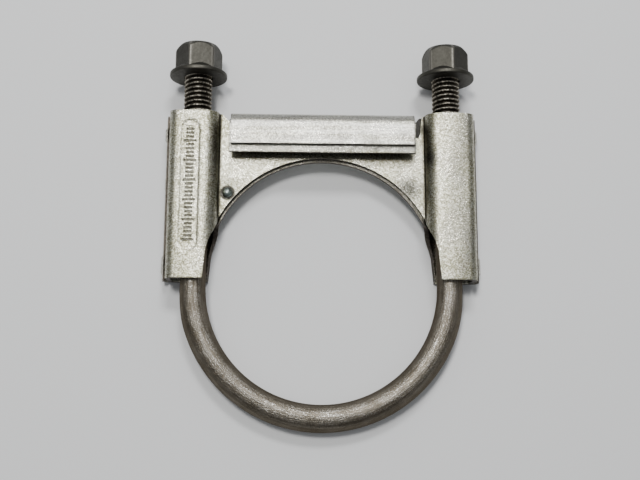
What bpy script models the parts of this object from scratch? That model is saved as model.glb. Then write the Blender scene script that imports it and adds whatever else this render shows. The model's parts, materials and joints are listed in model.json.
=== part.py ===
"""U-bolt pipe clamp: a threaded U-bolt, a two-shell stamped saddle with its rivet, and two flange nuts.

Metres, +Z up. The clamp lies flat: its legs run along +Y towards the nuts, the stamped front faces up,
and the origin is under the middle of the whole clamp, on the surface that the nut flanges rest on.
"""

import math

import bmesh
import bpy
from mathutils import Matrix, Vector

# ---------------------------------------------------------------- driving dimensions
MM = 0.001
PIPE_D = 76.2 * MM                    # pipe that the clamp is made for
ROD_R = 4.3 * MM                      # plain rod of the U-bolt
LEG_X = PIPE_D / 2 + ROD_R + 0.6 * MM  # half the distance between the leg axes
THREAD_R = 9.525 * MM / 2             # 3/8-16 thread, major radius
THREAD_ROOT_R = 3.9 * MM
THREAD_TIP_R = 3.7 * MM               # end face of the thread, inside its chamfer
RUNOUT_SLOPE = 0.4                    # rise of the first crests out of the plain rod
PITCH = 25.4 * MM / 16
NUT_FLATS = 14.29 * MM                # 9/16 hexagon, across flats
NUT_FLANGE_R = 9.9 * MM
NUT_HEIGHT = 11.3 * MM
FLANGE_RIM = 1.1 * MM                 # height of the flange's upright rim
FLANGE_HEIGHT = 2.3 * MM              # rim and cone, up to the hexagon
NUT_BORE_R = 5.0 * MM
CHAMFER_HEIGHT = 1.9 * MM             # cone that trims the hexagon's top corners
NUT_TURN = {"left": math.radians(-17.5), "right": math.radians(12.0)}
SHEET = 1.6 * MM                      # thickness of both saddle shells
GAP = 0.3 * MM                        # space between touching pieces

# places along the legs, from the bend (low Y) to the nuts (high Y)
LENGTH = 131.2 * MM
BEND_BOTTOM = -LENGTH / 2
BEND_Y = BEND_BOTTOM + LEG_X + ROD_R
NUT_TOP = LENGTH / 2
NUT_SEAT = NUT_TOP - NUT_HEIGHT
LEG_END = NUT_TOP - 1.4 * MM
THREAD_START = NUT_TOP - 42.0 * MM
SADDLE_TOP = NUT_TOP - 24.7 * MM
SADDLE_BOTTOM = SADDLE_TOP - 57.2 * MM
AXIS_Z = NUT_FLANGE_R                 # height of the leg axes

# saddle, X and Z measured from the middle of the leg-axis plane
CHANNEL_Z = 6.8 * MM                  # outer faces of the channels, front and back
CHANNEL_IN = 35.2 * MM                # channel wall that faces the pipe
CHANNEL_OUT = 51.8 * MM               # outer wall of the front shell
LAP_OUT = 53.8 * MM                   # outer wall of the back shell, lapped outside it
WALL_END = -4.6 * MM                  # free edge of the front shell's outer wall
LAP_END = -1.5 * MM                   # free edge of the back shell's outer wall
WALL_BEND = 2.0 * MM                  # middle radii of the bends: outer wall, inner wall, web
INNER_BEND = 2.7 * MM
WEB_BEND = 1.5 * MM
CRADLE_Y = NUT_TOP - 79.3 * MM        # centre of the pipe cradle
CRADLE_R_FRONT = 39.35 * MM
CRADLE_R_BACK = 38.5 * MM
FOLD_HALF = 30.9 * MM                 # half length of the folded top edge
LIP_HALF = 31.4 * MM
FOLD_TOP = NUT_TOP - 25.75 * MM
FOLD_EDGE = NUT_TOP - 36.9 * MM       # free edge of the outer fold
LIP_EDGE = NUT_TOP - 39.2 * MM        # free edge of the inner fold
FOLD_Z = 9.5 * MM                     # front face of the outer fold
FOLD_BEND = 3.4 * MM                  # middle radius of the outer fold, and of the inner one
LIP_BEND = 1.5 * MM
NOTCH_WIDTH = 2.6 * MM
NOTCH_LOW = SADDLE_TOP - 2.2 * MM
TORN_NOTCH_LOW = SADDLE_TOP - 7.6 * MM  # the front shell's right notch runs down into the web
SLOT_X = -44.4 * MM                   # shallow slot pressed into the left channel
SLOT_Y = SADDLE_TOP - 25.8 * MM
SLOT_HALF_WIDTH = 3.3 * MM
SLOT_HALF_LENGTH = 19.0 * MM
SLOT_DEPTH = 0.3 * MM
STAKES = ((SADDLE_TOP - 6.2 * MM, 1.8 * MM), (SADDLE_BOTTOM + 5.5 * MM, 2.4 * MM))  # (Y, half length)
STAKE_Z = (-5.0 * MM, -1.9 * MM)
STAKE_PROUD = 0.7 * MM

# rivet through both webs
RIVET_PLACE = (-32.0 * MM, NUT_TOP - 52.3 * MM)
RIVET_SHANK_R = 1.1 * MM
RIVET_HEAD_R = 1.75 * MM
RIVET_DOME = 1.2 * MM

TUBE_SIDES = 12
BEND_STEPS = 32
THROUGH = 12 * MM                     # reach of the cutters that go through the whole saddle


# ---------------------------------------------------------------- helpers
def clear_scene():
    for old in list(bpy.data.objects):
        bpy.data.objects.remove(old, do_unlink=True)


def material(name, color, roughness, metallic=1.0):
    mat = bpy.data.materials.new(name)
    mat.use_nodes = True
    shader = mat.node_tree.nodes["Principled BSDF"]
    shader.inputs["Base Color"].default_value = (*color, 1.0)
    shader.inputs["Roughness"].default_value = roughness
    shader.inputs["Metallic"].default_value = metallic
    return mat


def add_object(name, bm, mat=None, place=(0, 0, 0), parent=None):
    """Turn a bmesh into an object, with its faces pointing out and its round sides smooth."""
    bmesh.ops.recalc_face_normals(bm, faces=bm.faces)
    mesh = bpy.data.meshes.new(name)
    bm.to_mesh(mesh)
    bm.free()
    obj = bpy.data.objects.new(name, mesh)
    bpy.context.scene.collection.objects.link(obj)
    obj.location = place
    if parent is not None:
        obj.parent = parent
    if mat is not None:
        mesh.materials.append(mat)
    mesh.shade_smooth()
    mesh.set_sharp_from_angle(angle=math.radians(32))
    return obj


def add_cutter(name, bm, place=(0, 0, 0), parent=None):
    cutter = add_object(name, bm, place=place, parent=parent)
    cutter.hide_render = True
    cutter.display_type = "WIRE"
    return cutter


def boolean(obj, other, operation):
    step = obj.modifiers.new(other.name, "BOOLEAN")
    step.operation = operation
    step.solver = "EXACT"
    step.object = other


def add_empty(name, place):
    empty = bpy.data.objects.new(name, None)
    bpy.context.scene.collection.objects.link(empty)
    empty.location = place
    return empty


def rounded_path(corners, steps=3):
    """Points along straight runs joined by arcs; a corner is (a, b, radius), the ends have radius 0."""
    points = []
    for i, (a, b, radius) in enumerate(corners):
        here = Vector((a, b))
        if radius == 0:
            points.append(here)
            continue
        back = (Vector(corners[i - 1][:2]) - here).normalized()
        ahead = (Vector(corners[i + 1][:2]) - here).normalized()
        half = back.angle(ahead) / 2
        centre = here + (back + ahead).normalized() * (radius / math.sin(half))
        first = here + back * (radius / math.tan(half)) - centre
        last = here + ahead * (radius / math.tan(half)) - centre
        turn = first.angle_signed(last)
        for k in range(steps + 1):
            points.append(centre + Matrix.Rotation(-turn * k / steps, 2) @ first)
    return points


def strip_outline(corners, thickness, steps=3):
    """Closed outline of a bent sheet: its mid-line offset by half the thickness to each side."""
    middle = rounded_path(corners, steps)
    left, right = [], []
    for i, here in enumerate(middle):
        before = (here - middle[i - 1]).normalized() if i > 0 else None
        after = (middle[i + 1] - here).normalized() if i < len(middle) - 1 else None
        along = (before or after) + (after or before)
        along.normalize()
        stretch = 1.0 / along.dot(after or before)
        side = Vector((-along.y, along.x)) * (thickness / 2 * stretch)
        left.append(here + side)
        right.append(here - side)
    return left + right[::-1]


def extrude_outline(outline, low, high, axis):
    """Solid of an outline carried along +X ("X": outline is Y,Z) or +Y ("Y": outline is X,Z)."""
    bm = bmesh.new()
    rings = []
    for level in (low, high):
        if axis == "Y":
            ring = [bm.verts.new((a, level, b)) for a, b in outline]
        else:
            ring = [bm.verts.new((level, a, b)) for a, b in outline]
        rings.append(ring)
    count = len(outline)
    for i in range(count):
        j = (i + 1) % count
        bm.faces.new((rings[0][i], rings[0][j], rings[1][j], rings[1][i]))
    bm.faces.new(rings[0])
    bm.faces.new(rings[1])
    return bm


def cylinder(radius, low, high, axis="Z", sides=24, centre=(0.0, 0.0), turn=0.0):
    """Closed cylinder along an axis; centre is given in the other two directions."""
    bm = bmesh.new()
    place = Matrix.Translation((0, 0, (low + high) / 2)) @ Matrix.Rotation(turn, 4, "Z")
    bmesh.ops.create_cone(bm, cap_ends=True, segments=sides, radius1=radius, radius2=radius,
                          depth=high - low, matrix=place)
    if axis == "Z":
        bmesh.ops.translate(bm, verts=bm.verts, vec=(centre[0], centre[1], 0))
    else:
        bmesh.ops.rotate(bm, verts=bm.verts, matrix=Matrix.Rotation(-math.pi / 2, 3, "X"))
        bmesh.ops.translate(bm, verts=bm.verts, vec=(centre[0], 0, centre[1]))
    return bm


def box(low, high):
    bm = bmesh.new()
    bmesh.ops.create_cube(bm, size=1.0)
    size = Vector(high) - Vector(low)
    bmesh.ops.scale(bm, verts=bm.verts, vec=size)
    bmesh.ops.translate(bm, verts=bm.verts, vec=(Vector(high) + Vector(low)) / 2)
    return bm


def turned(profile, sides, axis="Y"):
    """Solid of revolution about Y or Z from (radius, height) points; it closes on the axis at both ends."""
    bm = bmesh.new()
    rows = []
    for radius, height in profile:
        row = []
        for k in range(sides if radius > 0 else 1):
            a = 2 * math.pi * k / sides
            u, v = radius * math.cos(a), radius * math.sin(a)
            row.append(bm.verts.new((u, height, -v) if axis == "Y" else (u, v, height)))
        rows.append(row)
    for below, above in zip(rows, rows[1:]):
        for k in range(sides):
            n = (k + 1) % sides
            if len(below) == 1:
                bm.faces.new((below[0], above[n], above[k]))
            elif len(above) == 1:
                bm.faces.new((below[k], below[n], above[0]))
            else:
                bm.faces.new((below[k], below[n], above[n], above[k]))
    return bm


# ---------------------------------------------------------------- U-bolt
def thread_column(angle):
    """Rows (radius, height) down one line of the thread: root and crest in turn, on a right-hand helix."""
    shift = angle / (2 * math.pi) * PITCH
    turns = int((LEG_END - THREAD_START) / PITCH) + 2
    rows = []
    for half in range(-2, 2 * turns + 1):
        height = THREAD_START + half * PITCH / 2 + shift
        radius = THREAD_R if half % 2 else THREAD_ROOT_R
        tip_cone = THREAD_TIP_R + (LEG_END - height)
        runout = ROD_R + (height - THREAD_START) * RUNOUT_SLOPE
        radius = min(radius, max(tip_cone, THREAD_TIP_R), max(runout, ROD_R))
        if height <= THREAD_START:
            height, radius = THREAD_START, ROD_R
        if height >= LEG_END:
            height, radius = LEG_END, THREAD_TIP_R
        rows.append((radius, height))
    return rows


def add_threaded_end(bm, side):
    """Helical thread on one leg. The columns share the seam with a shift of one pitch, two rows."""
    columns = []
    for k in range(TUBE_SIDES):
        angle = 2 * math.pi * k / TUBE_SIDES
        # angle runs from +Z towards +X about the leg, which lifts a right-hand helix towards +Y
        out = Vector((math.sin(angle), 0, math.cos(angle)))
        column = []
        for radius, height in thread_column(angle):
            column.append(bm.verts.new(out * radius + Vector((side * LEG_X, height, 0))))
        columns.append(column)
    for k in range(TUBE_SIDES):
        here, there = columns[k], columns[(k + 1) % TUBE_SIDES]
        shift = 0 if k + 1 < TUBE_SIDES else 2
        for i in range(len(here) - 1 - shift):
            bm.faces.new((here[i], there[i + shift], there[i + 1 + shift], here[i + 1]))


def add_bend(bm):
    """Plain rod: both legs below the thread and the half-circle between them."""
    places = [(Vector((-LEG_X, THREAD_START, 0)), Vector((-1, 0, 0)))]
    for k in range(BEND_STEPS + 1):
        a = math.pi * (1 + k / BEND_STEPS)
        outward = Vector((math.cos(a), math.sin(a), 0))
        places.append((outward * LEG_X + Vector((0, BEND_Y, 0)), outward))
    places.append((Vector((LEG_X, THREAD_START, 0)), Vector((1, 0, 0))))
    rings = []
    for centre, outward in places:
        ring = []
        for k in range(TUBE_SIDES):
            a = 2 * math.pi * k / TUBE_SIDES
            rise = Vector((0, 0, math.cos(a) * ROD_R))
            ring.append(bm.verts.new(centre + outward * (math.sin(a) * ROD_R) + rise))
        rings.append(ring)
    for below, above in zip(rings, rings[1:]):
        for k in range(TUBE_SIDES):
            n = (k + 1) % TUBE_SIDES
            bm.faces.new((below[k], below[n], above[n], above[k]))


def make_u_bolt(mat):
    bm = bmesh.new()
    add_threaded_end(bm, -1)
    add_threaded_end(bm, 1)
    add_bend(bm)
    bmesh.ops.remove_doubles(bm, verts=bm.verts, dist=0.00001)
    bmesh.ops.dissolve_degenerate(bm, edges=bm.edges, dist=0.000005)
    open_edges = [e for e in bm.edges if e.is_boundary]
    bmesh.ops.holes_fill(bm, edges=open_edges, sides=0)
    return add_object("u_bolt", bm, mat, place=(0, 0, AXIS_Z))


# ---------------------------------------------------------------- saddle shells
def shell_outline(face, wall_x, wall_end):
    """Cross-section of one shell, outer wall to outer wall. face is +1 for the front shell, -1 for the back."""
    web = face * (GAP + SHEET) / 2
    flat = face * (CHANNEL_Z - SHEET / 2)
    inner = CHANNEL_IN + SHEET / 2
    outer = wall_x - SHEET / 2
    half = [(inner, web, WEB_BEND), (inner, flat, INNER_BEND), (outer, flat, WALL_BEND)]
    half.append((outer, wall_end, 0))
    mirrored = [(-x, z, r) for x, z, r in reversed(half)]
    return strip_outline(mirrored + half, SHEET)


def fold_outline(web, top, front, edge, radius, root):
    """Cross-section of a top edge folded forward: up the web, over, and down to its free edge."""
    return strip_outline([(root, web, 0), (top, web, radius), (top, front, radius), (edge, front, 0)], SHEET)


def cut_cradle(shell, name, radius, group):
    cradle = cylinder(radius, -THROUGH, THROUGH, sides=72, centre=(0, CRADLE_Y))
    boolean(shell, add_cutter(name, cradle, parent=group), "DIFFERENCE")


def notch(side, low, depth_low, depth_high):
    """Pointed relief notch beside the fold's end, open at the top of the web."""
    bm = bmesh.new()
    half = NOTCH_WIDTH / 2
    middle = side * (LIP_HALF + 0.2 * MM + half)
    top = SADDLE_TOP + 1 * MM
    outline = [(middle - half, top), (middle - half, low + half), (middle, low),
               (middle + half, low + half), (middle + half, top)]
    lower = [bm.verts.new((x, y, depth_low)) for x, y in outline]
    upper = [bm.verts.new((x, y, depth_high)) for x, y in outline]
    bm.faces.new(lower)
    bm.faces.new(upper)
    for i in range(len(outline)):
        j = (i + 1) % len(outline)
        bm.faces.new((lower[i], lower[j], upper[j], upper[i]))
    return bm


def stamped_slot():
    """Shallow round-ended recess pressed into the left channel's front face."""
    bm = bmesh.new()
    outline = []
    for end in (1, -1):
        for k in range(9):
            a = math.pi * k / 8
            outline.append((SLOT_X + end * SLOT_HALF_WIDTH * math.cos(a),
                            SLOT_Y + end * (SLOT_HALF_LENGTH + SLOT_HALF_WIDTH * math.sin(a))))
    levels = (CHANNEL_Z - SLOT_DEPTH, CHANNEL_Z + SLOT_DEPTH)
    rings = [[bm.verts.new((x, y, z)) for x, y in outline] for z in levels]
    bm.faces.new(rings[0])
    bm.faces.new(rings[1])
    for i in range(len(outline)):
        j = (i + 1) % len(outline)
        bm.faces.new((rings[0][i], rings[0][j], rings[1][j], rings[1][i]))
    return bm


def drill_rivet_hole(shell, name, group):
    hole = cylinder(RIVET_SHANK_R + GAP, -THROUGH, THROUGH, sides=16, centre=RIVET_PLACE)
    boolean(shell, add_cutter(name, hole, parent=group), "DIFFERENCE")


def clear_fold_root(shell, name, low, group):
    """Takes the flat web away above the height where the folded edge takes over."""
    half = LIP_HALF + 0.2 * MM
    room = box((-half, low, -3 * MM), (half, SADDLE_TOP + 1 * MM, 3 * MM))
    boolean(shell, add_cutter(name, room, parent=group), "DIFFERENCE")


def make_front_shell(mat, group):
    web = (GAP + SHEET) / 2
    section = extrude_outline(shell_outline(1, CHANNEL_OUT, WALL_END), SADDLE_BOTTOM, SADDLE_TOP, "Y")
    shell = add_object("saddle_front", section, mat, parent=group)
    top = FOLD_TOP - SHEET - GAP - SHEET / 2
    front = FOLD_Z - SHEET - GAP - SHEET / 2
    clear_fold_root(shell, "front_fold_room", top - 3.0 * MM, group)
    fold = fold_outline(web, top, front, LIP_EDGE, LIP_BEND, top - 6 * MM)
    folded = add_cutter("front_fold", extrude_outline(fold, -LIP_HALF, LIP_HALF, "X"), parent=group)
    boolean(shell, folded, "UNION")
    cut_cradle(shell, "front_cradle", CRADLE_R_FRONT, group)
    for side, low in ((-1, NOTCH_LOW), (1, TORN_NOTCH_LOW)):
        cutter = add_cutter("front_notch", notch(side, low, -0.1 * MM, 3 * MM), parent=group)
        boolean(shell, cutter, "DIFFERENCE")
    boolean(shell, add_cutter("front_slot", stamped_slot(), parent=group), "DIFFERENCE")
    drill_rivet_hole(shell, "front_rivet_hole", group)
    return shell


def make_back_shell(mat, group):
    web = -(GAP + SHEET) / 2
    section = extrude_outline(shell_outline(-1, LAP_OUT, LAP_END), SADDLE_BOTTOM, SADDLE_TOP, "Y")
    shell = add_object("saddle_back", section, mat, parent=group)
    top = FOLD_TOP - SHEET / 2
    front = FOLD_Z - SHEET / 2
    clear_fold_root(shell, "back_fold_room", top - 5.0 * MM, group)
    fold = fold_outline(web, top, front, FOLD_EDGE, FOLD_BEND, top - 8 * MM)
    folded = add_cutter("back_fold", extrude_outline(fold, -FOLD_HALF, FOLD_HALF, "X"), parent=group)
    boolean(shell, folded, "UNION")
    cut_cradle(shell, "back_cradle", CRADLE_R_BACK, group)
    for side in (-1, 1):
        cutter = add_cutter("back_notch", notch(side, NOTCH_LOW, -3 * MM, 0.1 * MM), parent=group)
        boolean(shell, cutter, "DIFFERENCE")
        wall = side * LAP_OUT
        for i, (y, half) in enumerate(STAKES):
            low = (wall - STAKE_PROUD, y - half, STAKE_Z[0])
            high = (wall + STAKE_PROUD, y + half, STAKE_Z[1])
            stake = box(low, high)
            bmesh.ops.bevel(stake, geom=list(stake.edges), offset=0.55 * MM, segments=2, profile=0.5,
                            affect="EDGES")
            boolean(shell, add_cutter(f"stake_{i}", stake, parent=group), "UNION")
    drill_rivet_hole(shell, "back_rivet_hole", group)
    return shell


def make_rivet(mat, group):
    """Domed rivet through both webs, its heads just clear of the sheets."""
    seat = GAP / 2 + SHEET + GAP
    profile = [(0, -seat - RIVET_DOME)]
    for k in range(1, 4):
        a = math.pi / 2 * k / 4
        profile.append((RIVET_HEAD_R * math.sin(a), -seat - RIVET_DOME * math.cos(a)))
    profile.append((RIVET_HEAD_R, -seat))
    profile.append((RIVET_SHANK_R, -seat))
    profile += [(r, -z) for r, z in reversed(profile)]
    rivet = turned(profile, 16, axis="Z")
    return add_object("web_rivet", rivet, mat, place=(*RIVET_PLACE, 0), parent=group)


# ---------------------------------------------------------------- nuts
def make_nut(side_name, side, mat):
    """One flange nut, in two nodes that meet at its hexagon's foot: both travel, the hexagon also turns."""
    axis = add_empty(f"nut_{side_name}_axis", (side * LEG_X, 0, AXIS_Z))
    rim_edge = 0.35 * MM
    foot = NUT_SEAT + FLANGE_HEIGHT
    neck = NUT_FLATS / 2 - 0.1 * MM
    flange = turned([(0, NUT_SEAT), (NUT_FLANGE_R - rim_edge, NUT_SEAT), (NUT_FLANGE_R, NUT_SEAT + rim_edge),
                     (NUT_FLANGE_R, NUT_SEAT + FLANGE_RIM), (neck, foot), (0, foot)], 48)
    flange_obj = add_object(f"nut_{side_name}_flange", flange, mat, parent=axis)
    bore = cylinder(NUT_BORE_R, NUT_SEAT - 2 * MM, NUT_TOP + 2 * MM, axis="Y", sides=24)
    bore_cutter = add_cutter(f"nut_{side_name}_bore", bore, parent=axis)
    boolean(flange_obj, bore_cutter, "DIFFERENCE")
    corner = NUT_FLATS / 2 / math.cos(math.pi / 6)
    hexagon = cylinder(corner, foot + GAP, NUT_TOP, axis="Y", sides=6, turn=NUT_TURN[side_name])
    hex_obj = add_object(f"nut_{side_name}", hexagon, mat, parent=axis)
    top = NUT_TOP + 0.01 * MM
    chamfer = turned([(0, foot), (corner + 1 * MM, foot), (corner + 1 * MM, top - CHAMFER_HEIGHT),
                      (NUT_FLATS / 2 - 0.4 * MM, top), (0, top)], 48)
    boolean(hex_obj, add_cutter(f"nut_{side_name}_chamfer", chamfer, parent=axis), "INTERSECT")
    boolean(hex_obj, bore_cutter, "DIFFERENCE")


def main():
    clear_scene()
    rod_steel = material("rod_steel", (0.24, 0.22, 0.19), 0.32)
    front_steel = material("saddle_front_steel", (0.60, 0.59, 0.54), 0.36)
    back_steel = material("saddle_back_steel", (0.52, 0.50, 0.46), 0.38)
    rivet_steel = material("rivet_steel", (0.45, 0.50, 0.47), 0.35)
    nut_steel = material("nut_steel", (0.15, 0.14, 0.12), 0.42)
    make_u_bolt(rod_steel)
    saddle = add_empty("saddle_axis", (0, 0, AXIS_Z))
    make_front_shell(front_steel, saddle)
    make_back_shell(back_steel, saddle)
    make_rivet(rivet_steel, saddle)
    make_nut("left", -1, nut_steel)
    make_nut("right", 1, nut_steel)


main()
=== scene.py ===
# %% [markdown]
# # A U-bolt pipe clamp, drawn around its working model
#
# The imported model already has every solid, every size and every joint. This script keeps those
# sizes and makes what the eye sees: a rolled thread, bent and plated sheet, forged nuts.
# Each step has a short text like this one, and then a cell that makes one thing.

import json
import math

import bmesh
import bpy
import numpy as np
from mathutils import Matrix, Vector


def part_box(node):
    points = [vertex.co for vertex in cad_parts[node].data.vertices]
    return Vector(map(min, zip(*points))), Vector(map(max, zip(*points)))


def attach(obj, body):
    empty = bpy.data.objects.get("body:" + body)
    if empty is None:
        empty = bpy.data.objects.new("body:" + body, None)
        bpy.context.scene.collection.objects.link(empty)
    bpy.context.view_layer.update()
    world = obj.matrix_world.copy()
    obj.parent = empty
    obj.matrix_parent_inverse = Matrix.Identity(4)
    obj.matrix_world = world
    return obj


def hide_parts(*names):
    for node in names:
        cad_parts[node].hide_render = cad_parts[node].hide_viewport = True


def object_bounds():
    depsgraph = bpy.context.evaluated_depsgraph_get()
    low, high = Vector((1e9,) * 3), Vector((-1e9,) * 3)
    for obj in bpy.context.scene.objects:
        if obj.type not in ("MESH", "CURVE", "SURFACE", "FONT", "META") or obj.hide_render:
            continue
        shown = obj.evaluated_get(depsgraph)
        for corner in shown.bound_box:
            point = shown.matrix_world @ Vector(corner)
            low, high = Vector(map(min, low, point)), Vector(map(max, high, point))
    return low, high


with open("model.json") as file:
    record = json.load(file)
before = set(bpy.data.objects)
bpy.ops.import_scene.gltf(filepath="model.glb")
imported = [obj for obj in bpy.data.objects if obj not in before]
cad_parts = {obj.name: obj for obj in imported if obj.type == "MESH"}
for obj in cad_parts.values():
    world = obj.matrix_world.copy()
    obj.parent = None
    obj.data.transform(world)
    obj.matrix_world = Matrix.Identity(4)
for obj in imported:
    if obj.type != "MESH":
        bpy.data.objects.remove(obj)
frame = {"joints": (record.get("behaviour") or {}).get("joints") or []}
cad_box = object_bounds()
MM = 0.001
print("overall, mm:", [round((h - l) / MM, 1) for l, h in zip(*cad_box)])

# %% [markdown]
# ## Sizes
#
# Everything is placed from the boxes of the solids and from the joints. The nuts turn about the
# legs, so the hinges give the two leg axes; the shells' boxes give the saddle; the thickness of
# the sheet and the thread's form are the standard ones that the solids were drawn with.

# %% Read the places from the frame
hinges = {j["child"]: Vector(j["pos_m"]) for j in frame["joints"] if j["type"] == "hinge"}
LEG_X = hinges["nut_right"].x
AXIS_Z = hinges["nut_right"].z
bolt_low, bolt_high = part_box("u_bolt")
front_low, front_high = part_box("saddle_front")
back_low, back_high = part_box("saddle_back")
rivet_low, rivet_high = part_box("web_rivet")
flange_low, flange_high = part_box("nut_left_flange")
hex_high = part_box("nut_left")[1]

ROD_R = 4.3 * MM
PITCH = 25.4 * MM / 16
THREAD_R = (bolt_high.z - bolt_low.z) / 2
THREAD_ROOT_R = 3.9 * MM
BEND_Y = bolt_low.y + LEG_X + ROD_R
LEG_END = bolt_high.y
THREAD_START = hex_high.y - 42.0 * MM

SHEET = 1.6 * MM
OUTER_BEND, INNER_BEND, WEB_BEND = 2.0 * MM, 3.5 * MM, 1.5 * MM
FOLD_BEND, LIP_BEND = 3.4 * MM, 1.5 * MM
WALL_END, LAP_END = -4.6 * MM, -1.5 * MM
RELIEF_DEPTH = 2.2 * MM
GAP = 0.3 * MM
SADDLE_TOP, SADDLE_BOTTOM = front_high.y, front_low.y
CHANNEL_Z = AXIS_Z - back_low.z
CHANNEL_IN = 35.2 * MM
CHANNEL_OUT = front_high.x
CRADLE_Y = hex_high.y - 79.3 * MM
CRADLE_R = {"front": 39.35 * MM, "back": 38.5 * MM}
FOLD_HALF, LIP_HALF = 30.9 * MM, 31.4 * MM
FOLD_TOP = hex_high.y - 25.75 * MM
FOLD_EDGE = hex_high.y - 36.9 * MM
LIP_EDGE = hex_high.y - 39.2 * MM
FOLD_Z = back_high.z - AXIS_Z
RIVET = (rivet_low + rivet_high) / 2
print("leg axis, mm:", round(LEG_X / MM, 2), "bend centre y:", round(BEND_Y / MM, 2), "fold z:", round(FOLD_Z / MM, 2))

# %% [markdown]
# ## The camera, the floor and the light
#
# The clamp lies on a pale table and is seen from almost straight above, from the side of its bend.
# It rests on its two nut flanges and on the back corner of the saddle, so the table is a plane
# through those three, a few degrees off level. Soft boxes do the rest: bare metal only looks like
# metal when it has something large and bright to mirror, and something darker beside it.

# %% Camera
CAMERA_ELEVATION, CAMERA_SIDE, CAMERA_ROLL = map(math.radians, (79.87, -1.57, 0.23))
CAMERA_DISTANCE = 0.3005
camera_target = Vector((-0.0006, cad_box[0].y + 63.3 * MM, AXIS_Z))


def aim_camera():
    """A camera on a ball round the target: lowered from the zenith towards -Y, swung sideways, then rolled."""
    side = Matrix.Rotation(CAMERA_SIDE, 3, "Y")
    back = side @ Vector((0, -math.cos(CAMERA_ELEVATION), math.sin(CAMERA_ELEVATION)))
    up = side @ Vector((0, math.sin(CAMERA_ELEVATION), math.cos(CAMERA_ELEVATION)))
    right = up.cross(back).normalized()
    roll = Matrix.Rotation(CAMERA_ROLL, 3, back)
    turn = Matrix((roll @ right, roll @ up, back)).transposed()
    data = bpy.data.cameras.new("camera")
    data.sensor_width, data.lens = 36.0, 50.06
    data.clip_start, data.clip_end = 0.01, 20.0
    camera = bpy.data.objects.new("camera", data)
    bpy.context.scene.collection.objects.link(camera)
    camera.matrix_world = Matrix.Translation(camera_target + back * CAMERA_DISTANCE) @ turn.to_4x4()
    bpy.context.scene.camera = camera
    return camera


camera = aim_camera()
print("camera at, mm:", [round(c / MM) for c in camera.matrix_world.translation])

# %% Floor, world and lamps
def add_floor():
    """A wide square that touches the nut flanges at the top and the saddle's back corner at the bottom."""
    slope = (back_low.z - flange_low.z) / (flange_low.y - SADDLE_BOTTOM)
    reach = 1.5
    y = np.array([-reach, -reach, reach, reach])
    x = np.array([-reach, reach, reach, -reach])
    z = (flange_low.y - y) * slope + flange_low.z - 0.1 * MM
    mesh = bpy.data.meshes.new("floor")
    mesh.from_pydata(np.c_[x, y, z].tolist(), [], [(0, 1, 2, 3)])
    floor = bpy.data.objects.new("floor", mesh)
    bpy.context.scene.collection.objects.link(floor)
    return floor, slope


def add_softbox(name, place, size, watts, tint=(1.0, 1.0, 1.0)):
    """A rectangular lamp turned towards the clamp."""
    data = bpy.data.lights.new(name, "AREA")
    data.shape, data.size, data.size_y = "RECTANGLE", size[0], size[1]
    data.energy, data.color = watts, tint
    lamp = bpy.data.objects.new(name, data)
    bpy.context.scene.collection.objects.link(lamp)
    lamp.location = place
    aim = Vector((0, 0, AXIS_Z)) - lamp.location
    lamp.rotation_mode = "QUATERNION"
    lamp.rotation_quaternion = aim.to_track_quat("-Z", "Y")
    return lamp


floor, floor_slope = add_floor()
world = bpy.data.worlds.new("studio")
bpy.context.scene.world = world
world.use_nodes = True
sky = world.node_tree
sky_point = sky.nodes.new("ShaderNodeTexCoord")
sky_height = sky.nodes.new("ShaderNodeVectorMath")
sky_height.operation = "DOT_PRODUCT"
sky_height.inputs[1].default_value = (0.0, 0.5, 0.866)
sky_ramp = sky.nodes.new("ShaderNodeValToRGB")
sky_ramp.color_ramp.elements[0].position, sky_ramp.color_ramp.elements[1].position = 0.22, 1.0
sky_ramp.color_ramp.elements[0].color = (0.17, 0.175, 0.185, 1)
sky_ramp.color_ramp.elements[1].color = (0.62, 0.63, 0.63, 1)
sky.links.new(sky_point.outputs["Generated"], sky_height.inputs[0])
sky.links.new(sky_height.outputs["Value"], sky_ramp.inputs["Fac"])
sky.links.new(sky_ramp.outputs["Color"], sky.nodes["Background"].inputs["Color"])
sky.nodes["Background"].inputs["Strength"].default_value = 0.75
add_softbox("key_box", (-0.13, 0.19, 0.78), (0.15, 0.14), 3.3, (1.0, 0.985, 0.95))
add_softbox("back_box", (0.06, 0.46, 0.64), (0.22, 0.12), 2.6)
print("floor slope, degrees:", round(math.degrees(math.atan(floor_slope)), 2))

# %% [markdown]
# ## Helpers: a surface is an array
#
# Every new piece here is a grid of points worked out with numpy, one formula for the whole grid.
# These helpers turn the grid into faces and the faces into a Blender object. Extra facts about the
# surface, such as how close a point is to a sheared edge, go in as attributes for the materials.

# %% Grid and mesh helpers
def grid_quads(rows, columns, closed=False):
    """Faces of a grid of rows x columns points stored row by row; closed joins the last column to the first."""
    r, c = np.meshgrid(np.arange(rows - 1), np.arange(columns if closed else columns - 1), indexing="ij")
    n = (c + 1) % columns
    return np.stack([r * columns + c, r * columns + n, (r + 1) * columns + n, (r + 1) * columns + c], -1).reshape(-1, 4)


def smoothstep(t):
    """0 below 0, 1 above 1, and an S-curve between."""
    t = np.clip(t, 0.0, 1.0)
    return t * t * (3 - 2 * t)


def soft_noise(points, scale, seed):
    """Smooth bumps between -1 and 1: a sum of a few sine waves in random directions, scale in metres."""
    rng = np.random.default_rng(seed)
    total = np.zeros(len(points))
    for octave in range(6):
        direction = rng.normal(size=3)
        direction *= (1 + 0.35 * octave) / np.linalg.norm(direction)
        total += np.sin(points @ direction * (2 * math.pi / scale) + rng.uniform(0, 2 * math.pi))
    return total / 3.0


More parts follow.
